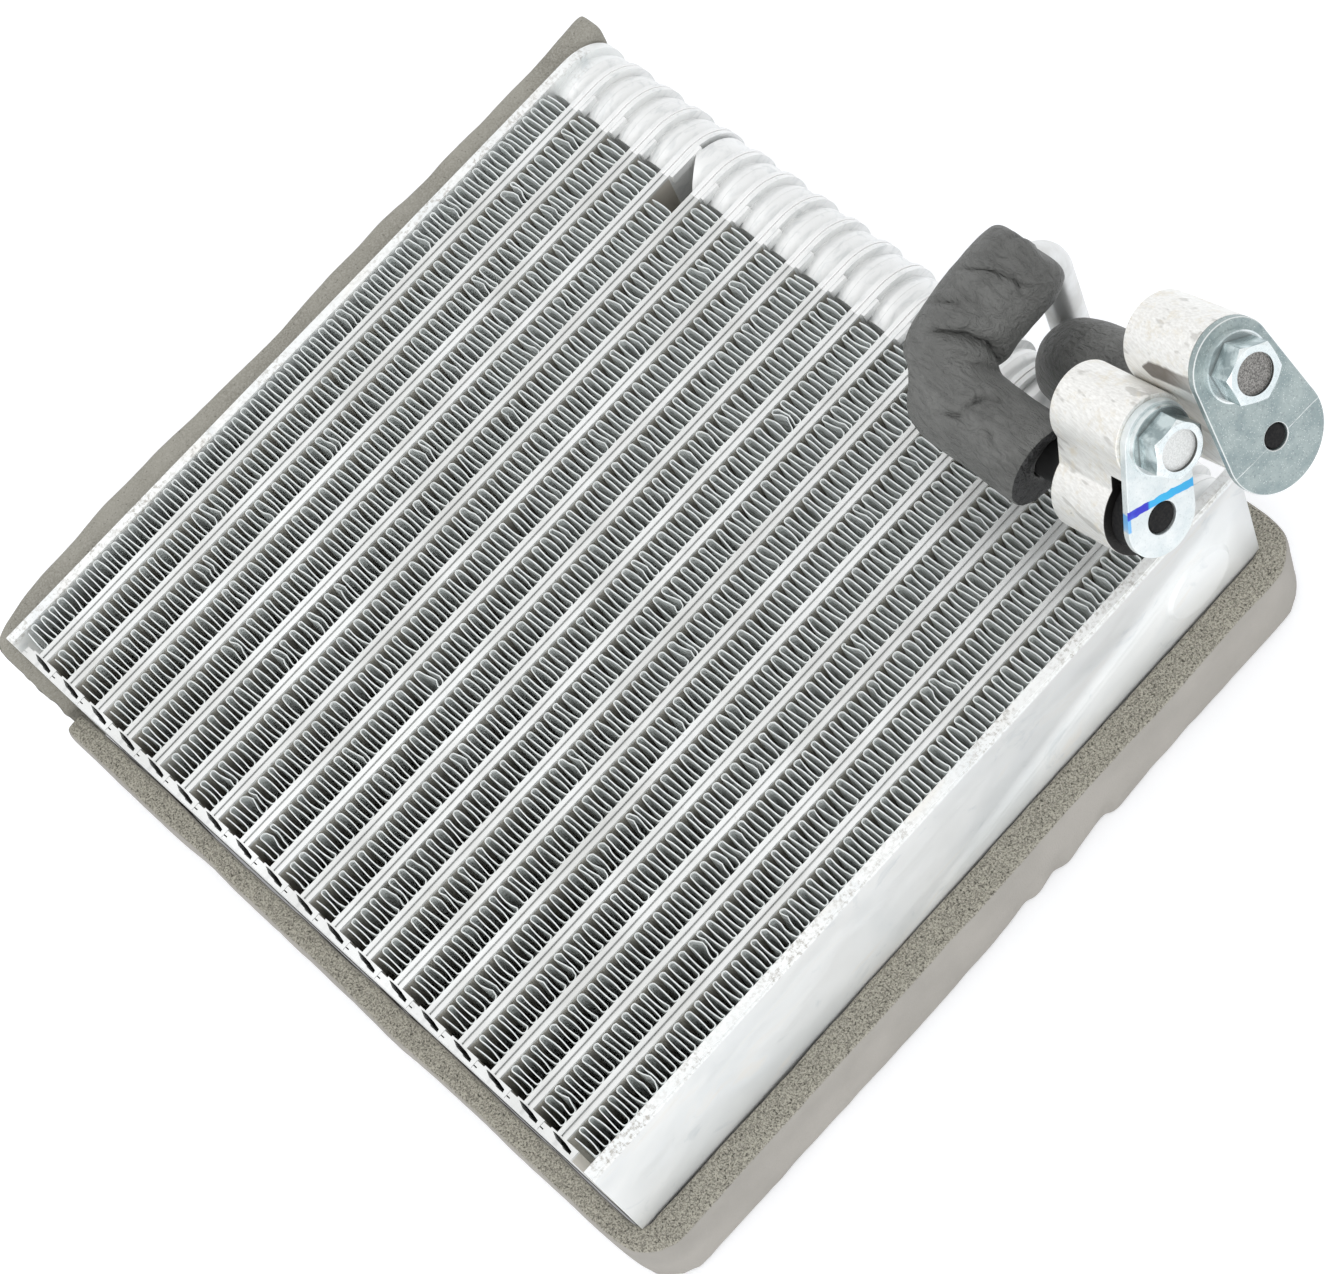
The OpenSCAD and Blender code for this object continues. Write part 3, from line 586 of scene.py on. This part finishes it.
def add_button(plug, port, radius, tilt):
    """The rubber stands up into the cap plate's hole, as a low button with a rounded edge."""
    out = Vector((math.cos(tilt), 0, math.sin(tilt)))
    tall = CAP_THICK - BUTTON_SINK
    bpy.ops.object.select_all(action="DESELECT")
    bpy.ops.mesh.primitive_cylinder_add(vertices=48, radius=radius, depth=tall,
                                        rotation=(0, math.pi / 2 - tilt, 0),
                                        location=port - out * (CAP_THICK - tall / 2))
    button = bpy.context.active_object
    bpy.ops.object.transform_apply(location=True, rotation=True, scale=True)
    modify(button, "BEVEL", width=0.5 * MM, segments=3, limit_method="ANGLE", angle_limit=math.radians(40))
    smooth(button, 50)
    button.data.materials.clear()
    button.data.materials.append(plug.data.materials[0])
    only(plug)
    button.select_set(True)
    bpy.ops.object.join()


# Fins

def fold_path(length, half, rng):
    """Points of one folded sheet: nearly parallel limbs joined by round loops, each a little uneven."""
    step = length / (2 * WAVES)
    loop = step / 2
    drift = [0.0]
    for _ in range(2 * WAVES):
        drift.append(drift[-1] * 0.8 + rng.gauss(0, DRIFT) * loop)
    points = []
    for k in range(2 * WAVES):
        side = 1 if k % 2 == 0 else -1
        y = (k + 0.5) * step + drift[k]
        lean = rng.gauss(0, LEAN) * loop
        bow = (BOW if k % 4 < 2 else -BOW) * loop + rng.gauss(0, UNEVEN_BOW) * loop
        short = abs(rng.gauss(0, SHORTNESS)) * half
        for i in range(LIMB_POINTS):
            t = i / (LIMB_POINTS - 1) * 2 - 1
            points.append((side * t * (half - loop), y + lean * t + bow * (1 - t * t)))
        if k < 2 * WAVES - 1:
            ahead = (k + 1.5) * step + drift[k + 1]
            for i in range(1, LOOP_POINTS + 1):
                a = math.pi * i / (LOOP_POINTS + 1)
                points.append((side * (half - loop + (loop - short) * math.sin(a)),
                               y + lean + (ahead - y - lean) * (1 - math.cos(a)) / 2))
    return points


def folded_sheet(name, low, high, seed):
    """One strip of fin, folded from thin sheet between two tubes, its front edge nicked here and there."""
    rng = random.Random(seed)
    half = (high.x - low.x) / 2 - FIN_SHEET / 2 - 0.02 * MM
    middle = (high.x + low.x) / 2
    points = fold_path(high.y - low.y, half, rng)
    nicks = [(rng.uniform(low.y, high.y), rng.uniform(-0.6, 0.6) * half, rng.uniform(0.5, 1.3) * MM)
             for _ in range(NICKS)]
    bpy.ops.object.select_all(action="DESELECT")
    bpy.ops.mesh.primitive_grid_add(x_subdivisions=FIN_ROWS, y_subdivisions=len(points) - 1, size=1.0)
    piece = bpy.context.active_object
    piece.name = name
    for v in piece.data.vertices:
        x, y = points[round((v.co.y + 0.5) * (len(points) - 1))]
        # The rows crowd towards the front edge
        height = 1 - (0.5 - v.co.x) ** 1.6
        y = min(high.y, max(low.y, low.y + y))
        z = low.z + (high.z - low.z) * height
        for place, across, size in nicks:
            near = math.exp(-((y - place) / (1.6 * MM)) ** 2 - ((x - across) / (1.8 * MM)) ** 2)
            if v.co.x > 0.45:
                y += size * near
                z -= 0.5 * size * near
        v.co = (middle + x, y, z)
    modify(piece, "SOLIDIFY", thickness=FIN_SHEET, offset=0.0)
    smooth(piece, 50)
    return piece


def make_fins(material):
    """A folded sheet for each strip of fin, no two alike."""
    for i, node in enumerate(FINS):
        low, high = (Vector(c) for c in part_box(node))
        piece = folded_sheet("folded_" + node, low, high, FIN_SEED + i)
        dress(piece, material, node)


# Foam

def push(piece, amount):
    """Moves each vertex along its normal by amount(place, normal)."""
    mesh = piece.data
    moves = [amount(v.co, v.normal) for v in mesh.vertices]
    places = [v.co + v.normal * d for v, d in zip(mesh.vertices, moves)]
    for v, place in zip(mesh.vertices, places):
        v.co = place
    mesh.update()


def bumps(place, scale, octaves):
    """Smooth noise from -1 to 1 with blotches about 1 / scale metres wide."""
    return noise.fractal(place * scale, 0.9, 2.1, octaves)


def foam_from(node, name, voxel):
    """A solid as one soft, even skin of small faces."""
    piece = copy_of(node, name)
    modify(piece, "REMESH", mode="VOXEL", voxel_size=voxel)
    modify(piece, "SMOOTH", factor=0.5, iterations=3)
    return piece


def make_pad(material):
    """The left pad: its front edge waves, and its lower end is thin and torn."""
    low, high = (Vector(c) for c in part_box("left_foam_pad"))
    piece = foam_from("left_foam_pad", "left_pad_foam", voxel=1.8 * MM)
    for v in piece.data.vertices:
        t = min(1.0, max(0.0, (low.y - v.co.y) / PAD_TAPER + 1))
        thin = 0.78 * (1 - math.sqrt(1 - t * t))
        v.co.x = high.x - (high.x - v.co.x) * (1 - thin)

    def swell(p, n):
        outside = max(0.0, -n.x)
        front = max(0.0, n.z)
        end = max(0.0, -n.y)
        wave = (bumps(p, 22, 2) * 1.2 + bumps(p, 75, 2) * 0.35) * MM * outside
        wave += bumps(p, 30, 2) * 0.8 * MM * front
        torn = (bumps(p, 160, 3) * 1.3 - 0.6) * MM * end
        return wave + torn + bumps(p, 420, 2) * 0.12 * MM - 0.35 * MM
    push(piece, swell)
    modify(piece, "SUBSURF", levels=1, render_levels=1)
    smooth(piece, 60)
    dress(piece, material, "left_foam_pad")


def make_strip(material):
    """The strip round the right side: a soft band with shallow creases and a gathered lower edge."""
    piece = foam_from("right_foam_strip", "edge_strip_foam", voxel=1.7 * MM)
    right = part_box("right_foam_strip")[1][0]

    def gather(p):
        """How far the lower outer edge goes in at the gathers, and out beside them."""
        lower = eased(p.z, 13 * MM, 2 * MM) * (1 if p.x > right - 1.5 * MM else 0)
        amount = 0.0
        for y, size in GATHERS:
            ahead = p.y / MM - y - 0.35 * p.z / MM
            if ahead > 0:
                amount += 1.0 * math.exp(-ahead / 5.0) - size * math.exp(-ahead / 1.1)
            else:
                amount -= size * math.exp(ahead / 5.5)
        return amount * MM * lower

    def swell(p, n):
        side = math.hypot(n.x, n.y)
        crease = bumps(Vector((p.x * 1.4, p.y * 1.4, p.z * 0.25)), 60, 2) * 0.35 * MM * side
        wave = bumps(p, 24, 2) * 0.5 * MM * side
        return gather(p) + crease + wave + bumps(p, 400, 2) * 0.12 * MM - 0.3 * MM
    push(piece, swell)
    modify(piece, "SUBSURF", levels=1, render_levels=1)
    smooth(piece, 60)
    dress(piece, material, "right_foam_strip")


def eased(value, low, high):
    """0 up to low and 1 from high, smooth between them."""
    t = min(1.0, max(0.0, (value - low) / (high - low)))
    return t * t * (3 - 2 * t)


def off_route(place, route):
    """Distance of a place from a route of straight legs."""
    nearest = math.inf
    for start, end in zip(route, route[1:]):
        leg = end - start
        t = min(1.0, max(0.0, (place - start).dot(leg) / leg.dot(leg)))
        nearest = min(nearest, (place - start - leg * t).length)
    return nearest


def loosen_sleeve_1(piece):
    """The foam of sleeve 1 hangs loose, fuller on its outer side, and is gathered over its first end."""
    side = Vector((1, 0, 0))
    up = side.cross(LEG_1)
    places = []
    end = piece.vertex_groups.new(name="end")
    for v in piece.data.vertices:
        p = v.co / MM
        skin = eased(off_route(p, ROUTE_1), 6.5, 9.0)
        lean = Vector((-1.9 * eased(p.x, 62, 46) + 1.3 * eased(p.y, 92, 108),
                       -2.8 * eased(p.y, 100, 84), 0))
        swell = 0.5 + 0.5 * eased(p.y, 78, 92)
        move = (lean + v.normal * swell) * skin
        # The end: its face domes out, its rim rounds off, and its bore is drawn together
        ahead = (p - ROUTE_1[0]).dot(LEG_1) + SLEEVE_1_END
        across = p - ROUTE_1[0] - LEG_1 * (p - ROUTE_1[0]).dot(LEG_1)
        near = eased(ahead, -3.5, 0)
        if near > 0:
            r = across.length
            angle = math.atan2(across.dot(up), across.dot(side))
            pleats = 0.85 + 0.04 * math.sin(5 * angle + 0.8) * eased(r, 2, 8)
            move += LEG_1 * (5.4 * near * pleats * max(0.0, 1 - (r / 12.0) ** 4))
            draw = 0.72 * eased(r, 9.5, 5.5) + 0.08 * eased(r, 8, 10.6)
            move -= across * (near * draw)
            end.add([v.index], near, "REPLACE")
        places.append(v.co + move * MM)
    for v, place in zip(piece.data.vertices, places):
        v.co = place
    piece.data.update()
    modify(piece, "SMOOTH", factor=0.5, iterations=5, vertex_group="end")


def loosen_sleeve_2(piece):
    """The foam of sleeve 2 has drawn back from the block, so the pipe, painted black as shade, shows."""
    for v in piece.data.vertices:
        ahead = (v.co / MM - BLOCK_2_BACK).dot(AXIS_2) + SLEEVE_2_END
        if ahead > -12:
            v.co -= AXIS_2 * (5.0 * eased(ahead, -12, 0) * MM)
    piece.data.update()


def make_sleeve(node, name, material, voxel, folds, loosen):
    """A foam sleeve with folds pressed into its skin, hung by its own loosen function."""
    piece = foam_from(node, name, voxel)

    def swell(p, _):
        depth = bumps(p, 70, 2) * 0.3 * MM + bumps(p, 380, 2) * 0.1 * MM - 0.2 * MM
        for place, over, along, width, length, size in folds:
            q = (p - place * MM) / MM
            bent = q.dot(over) + bumps(p, 130, 2) * 0.8
            valley = math.exp(-(bent / width) ** 2)
            lip = 0.35 * math.exp(-((abs(bent) - 2.6 * width) / (1.6 * width)) ** 2)
            ends = math.exp(-(q.dot(along) / length) ** 4) * math.exp(-(q.length / (length * 1.6)) ** 2)
            depth += size * MM * (lip - valley) * ends
        return depth
    push(piece, swell)
    loosen(piece)
    modify(piece, "SUBSURF", levels=1, render_levels=1)
    smooth(piece, 60)
    dress(piece, material, node)


def fold(place, over, along, width, length, size):
    """A fold: its place, the ways across it and along it, and its width, length and depth in mm."""
    return Vector(place), Vector(over).normalized(), Vector(along).normalized(), width, length, size


SLEEVE_1_FOLDS = [
    # The deep fold inside the corner, and a wrinkle above it
    fold((46.2, 86.0, 107.0), (-0.47, 0.88, 0), (0.88, 0.47, 0), 0.9, 8.5, 2.9),
    fold((49.5, 88.0, 103.0), (-0.47, 0.88, 0), (0.6, 0.3, -0.7), 1.1, 4.0, 1.2),
    fold((39.8, 89.7, 110.0), (-0.36, 0.91, 0.21), (0.92, 0.31, 0.22), 0.6, 4.5, 1.5),
    # The thin crease across the first leg, with a pit at its end
    fold((42.6, 98.3, 113.0), (-0.38, 0.92, 0.05), (0.92, 0.38, 0), 0.55, 8.0, 1.6),
    fold((48.6, 101.0, 111.5), (0.6, 0.75, 0), (0.75, -0.6, 0), 0.6, 2.4, 1.5),
    # The gathered end
    fold((40.8, 106.0, 116.0), (1, 0, 0.2), (0, 0.95, 0.3), 0.8, 3.4, 1.5),
    fold((47.0, 105.6, 113.6), (-0.2, 0.95, 0.3), (0.75, 0, -0.66), 0.5, 4.5, 0.45),
    # The second leg
    fold((55.4, 71.5, 106.2), (-0.55, 0.75, 0.38), (0.83, 0.46, 0.31), 0.6, 3.2, 1.5),
    fold((58.0, 75.8, 107.8), (1, -0.2, 0), (0.2, 1, 0.1), 0.7, 3.4, 2.1),
    fold((60.4, 78.8, 107.8), (-0.4, 0.9, 0), (0.9, 0.4, 0), 0.55, 2.4, 1.3),
    fold((65.6, 72.0, 106.2), (0.68, 0.69, 0.26), (0.73, -0.61, -0.31), 0.45, 2.8, 1.4),
]
SLEEVE_2_FOLDS = [
    fold((60.5, 104.0, 96.0), (0.8, 0, 0.6), (0, 1, 0), 0.7, 6.0, 0.7),
    fold((67.0, 103.0, 104.5), (1, 0.1, 0.3), (0, 1, 0), 0.6, 6.0, 0.6),
    fold((71.0, 103.5, 106.0), (1, -0.1, 0.4), (0, 1, 0), 0.6, 5.0, 0.5),
]


# The room

def make_floor():
    """A white table. The camera sees it a little brighter than it is, which thins its shadow."""
    bpy.ops.object.select_all(action="DESELECT")
    bpy.ops.mesh.primitive_plane_add(size=TABLE_SIZE, location=(0, 0, -TABLE_DROP))
    floor = bpy.context.active_object
    floor.name = "table"
    f = Finish("white table", roughness=0.9)
    f.set(Base_Color=(0.93, 0.935, 0.945))
    glow = f.mix(f.seen(), (0, 0, 0), TABLE_GLOW)
    f.set(Emission_Color=glow, Emission_Strength=1.0)
    floor.data.materials.append(f.material)


def make_tent():
    """A white tent, a little brighter at its foot. The camera, metal and glass see plain white instead."""
    world = bpy.data.worlds.new("studio")
    bpy.context.scene.world = world
    world.use_nodes = True
    sky = Nodes(world.node_tree)
    height = sky.part(sky.add("TexCoord", {}, output="Generated"), "Z")
    tent = sky.add("Background", {}, TENT_COLOUR, height.between(0.0, TENT_HEIGHT, TENT_FOOT, TENT_TOP))
    white = sky.add("Background", {}, (1, 1, 1), 1.0)
    mixed = sky.add("MixShader", {}, sky.seen(), tent, white)
    sky.tree.nodes.remove(sky.tree.nodes["Background"])
    sky.link(mixed, sky.tree.nodes["World Output"].inputs["Surface"])


def make_lamps():
    """Two large soft lamps, aimed at the core."""
    for name, (place, size, power) in LAMPS.items():
        lamp = bpy.data.lights.new(name, "AREA")
        lamp.size = size
        lamp.energy = power
        stand = bpy.data.objects.new(name, lamp)
        bpy.context.scene.collection.objects.link(stand)
        stand.location = place
        stand.rotation_euler = (LAMP_AIM - Vector(place)).to_track_quat("-Z", "Y").to_euler()


def make_camera():
    """The photograph's camera, as solved from the core's pitch and corners."""
    data = bpy.data.cameras.new("camera")
    camera = bpy.data.objects.new("camera", data)
    bpy.context.scene.collection.objects.link(camera)
    data.sensor_width = 36
    data.lens = CAMERA_LENS
    data.clip_start = 0.05
    aim = (CAMERA_AIM - CAMERA_PLACE).to_track_quat("-Z", "Y")
    camera.location = CAMERA_PLACE
    camera.rotation_euler = (aim @ Quaternion((0, 0, 1), CAMERA_ROLL)).to_euler()
    bpy.context.scene.camera = camera


def make_core():
    """The tubes and the end plates."""
    tube = tube_aluminium()
    for node in TUBES:
        refined(node, "plates_" + node, tube, edge=0.18 * MM)
    plate = end_plate_aluminium()
    for node in ("left_end_plate", "right_end_plate"):
        refined(node, node + "_sheet", plate, edge=0.4 * MM)


def make_pipework():
    """The pipes with their boss, the blocks, and the caps with their bolts and plugs."""
    pipe = pipe_aluminium()
    for node in ("pipe_1", "pipe_2", "pipe_1_boss"):
        refined(node, node + "_metal", pipe, edge=0.3 * MM)
    for number, tilt, port, painted_waist_shade_at in ((1, TILT_1, PORT_1, None), (2, TILT_2, PORT_2, PAINTED_WAIST_SHADE_2)):
        axis = Vector((math.cos(tilt), 0, math.sin(tilt)))
        block = block_aluminium(f"block {number} aluminium", axis, port, painted_waist_shade_at)
        refined(f"block_{number}", f"block_{number}_metal", block, edge=0.4 * MM)
    refined("cap_plate_1", "cap_1_sheet", cap_1_zinc(), edge=0.35 * MM)
    refined("cap_plate_2", "cap_2_sheet", cap_2_zinc(), edge=0.35 * MM)
    # Painted light: the dish of bolt 1 is painted pale, as washed out by light; the dish of bolt 2 is dark
    bolts = {1: bolt_zinc(1, TILT_1, ROLL_1, dish_dark=(0.70, 0.71, 0.70), dish_pale=(0.86, 0.87, 0.86)),
             2: bolt_zinc(2, TILT_2, ROLL_2, dish_dark=(0.13, 0.125, 0.12), dish_pale=(0.42, 0.41, 0.39))}
    rubber = plug_rubber()
    for number, port, hole, tilt in ((1, PORT_1, HOLE_1, TILT_1), (2, PORT_2, HOLE_2, TILT_2)):
        refined(f"cap_bolt_{number}", f"bolt_{number}_metal", bolts[number],
                edge=0.28 * MM, angle=20)
        plug = refined(f"port_plug_{number}", f"plug_{number}_rubber", rubber, edge=0.4 * MM)
        add_button(plug, port, hole - BUTTON_GAP, tilt)


def main():
    make_camera()
    make_tent()
    make_lamps()
    make_floor()
    make_core()
    make_pipework()
    make_fins(fin_aluminium())
    make_pad(pad_foam())
    make_strip(strip_foam())
    sleeve = sleeve_foam()
    make_sleeve("sleeve_1", "pipe_sleeve_1", sleeve, 0.9 * MM, SLEEVE_1_FOLDS, loosen_sleeve_1)
    make_sleeve("sleeve_2", "pipe_sleeve_2", sleeve, 1.1 * MM, SLEEVE_2_FOLDS, loosen_sleeve_2)
    scene = bpy.context.scene
    scene.view_settings.view_transform = "Standard"


main()
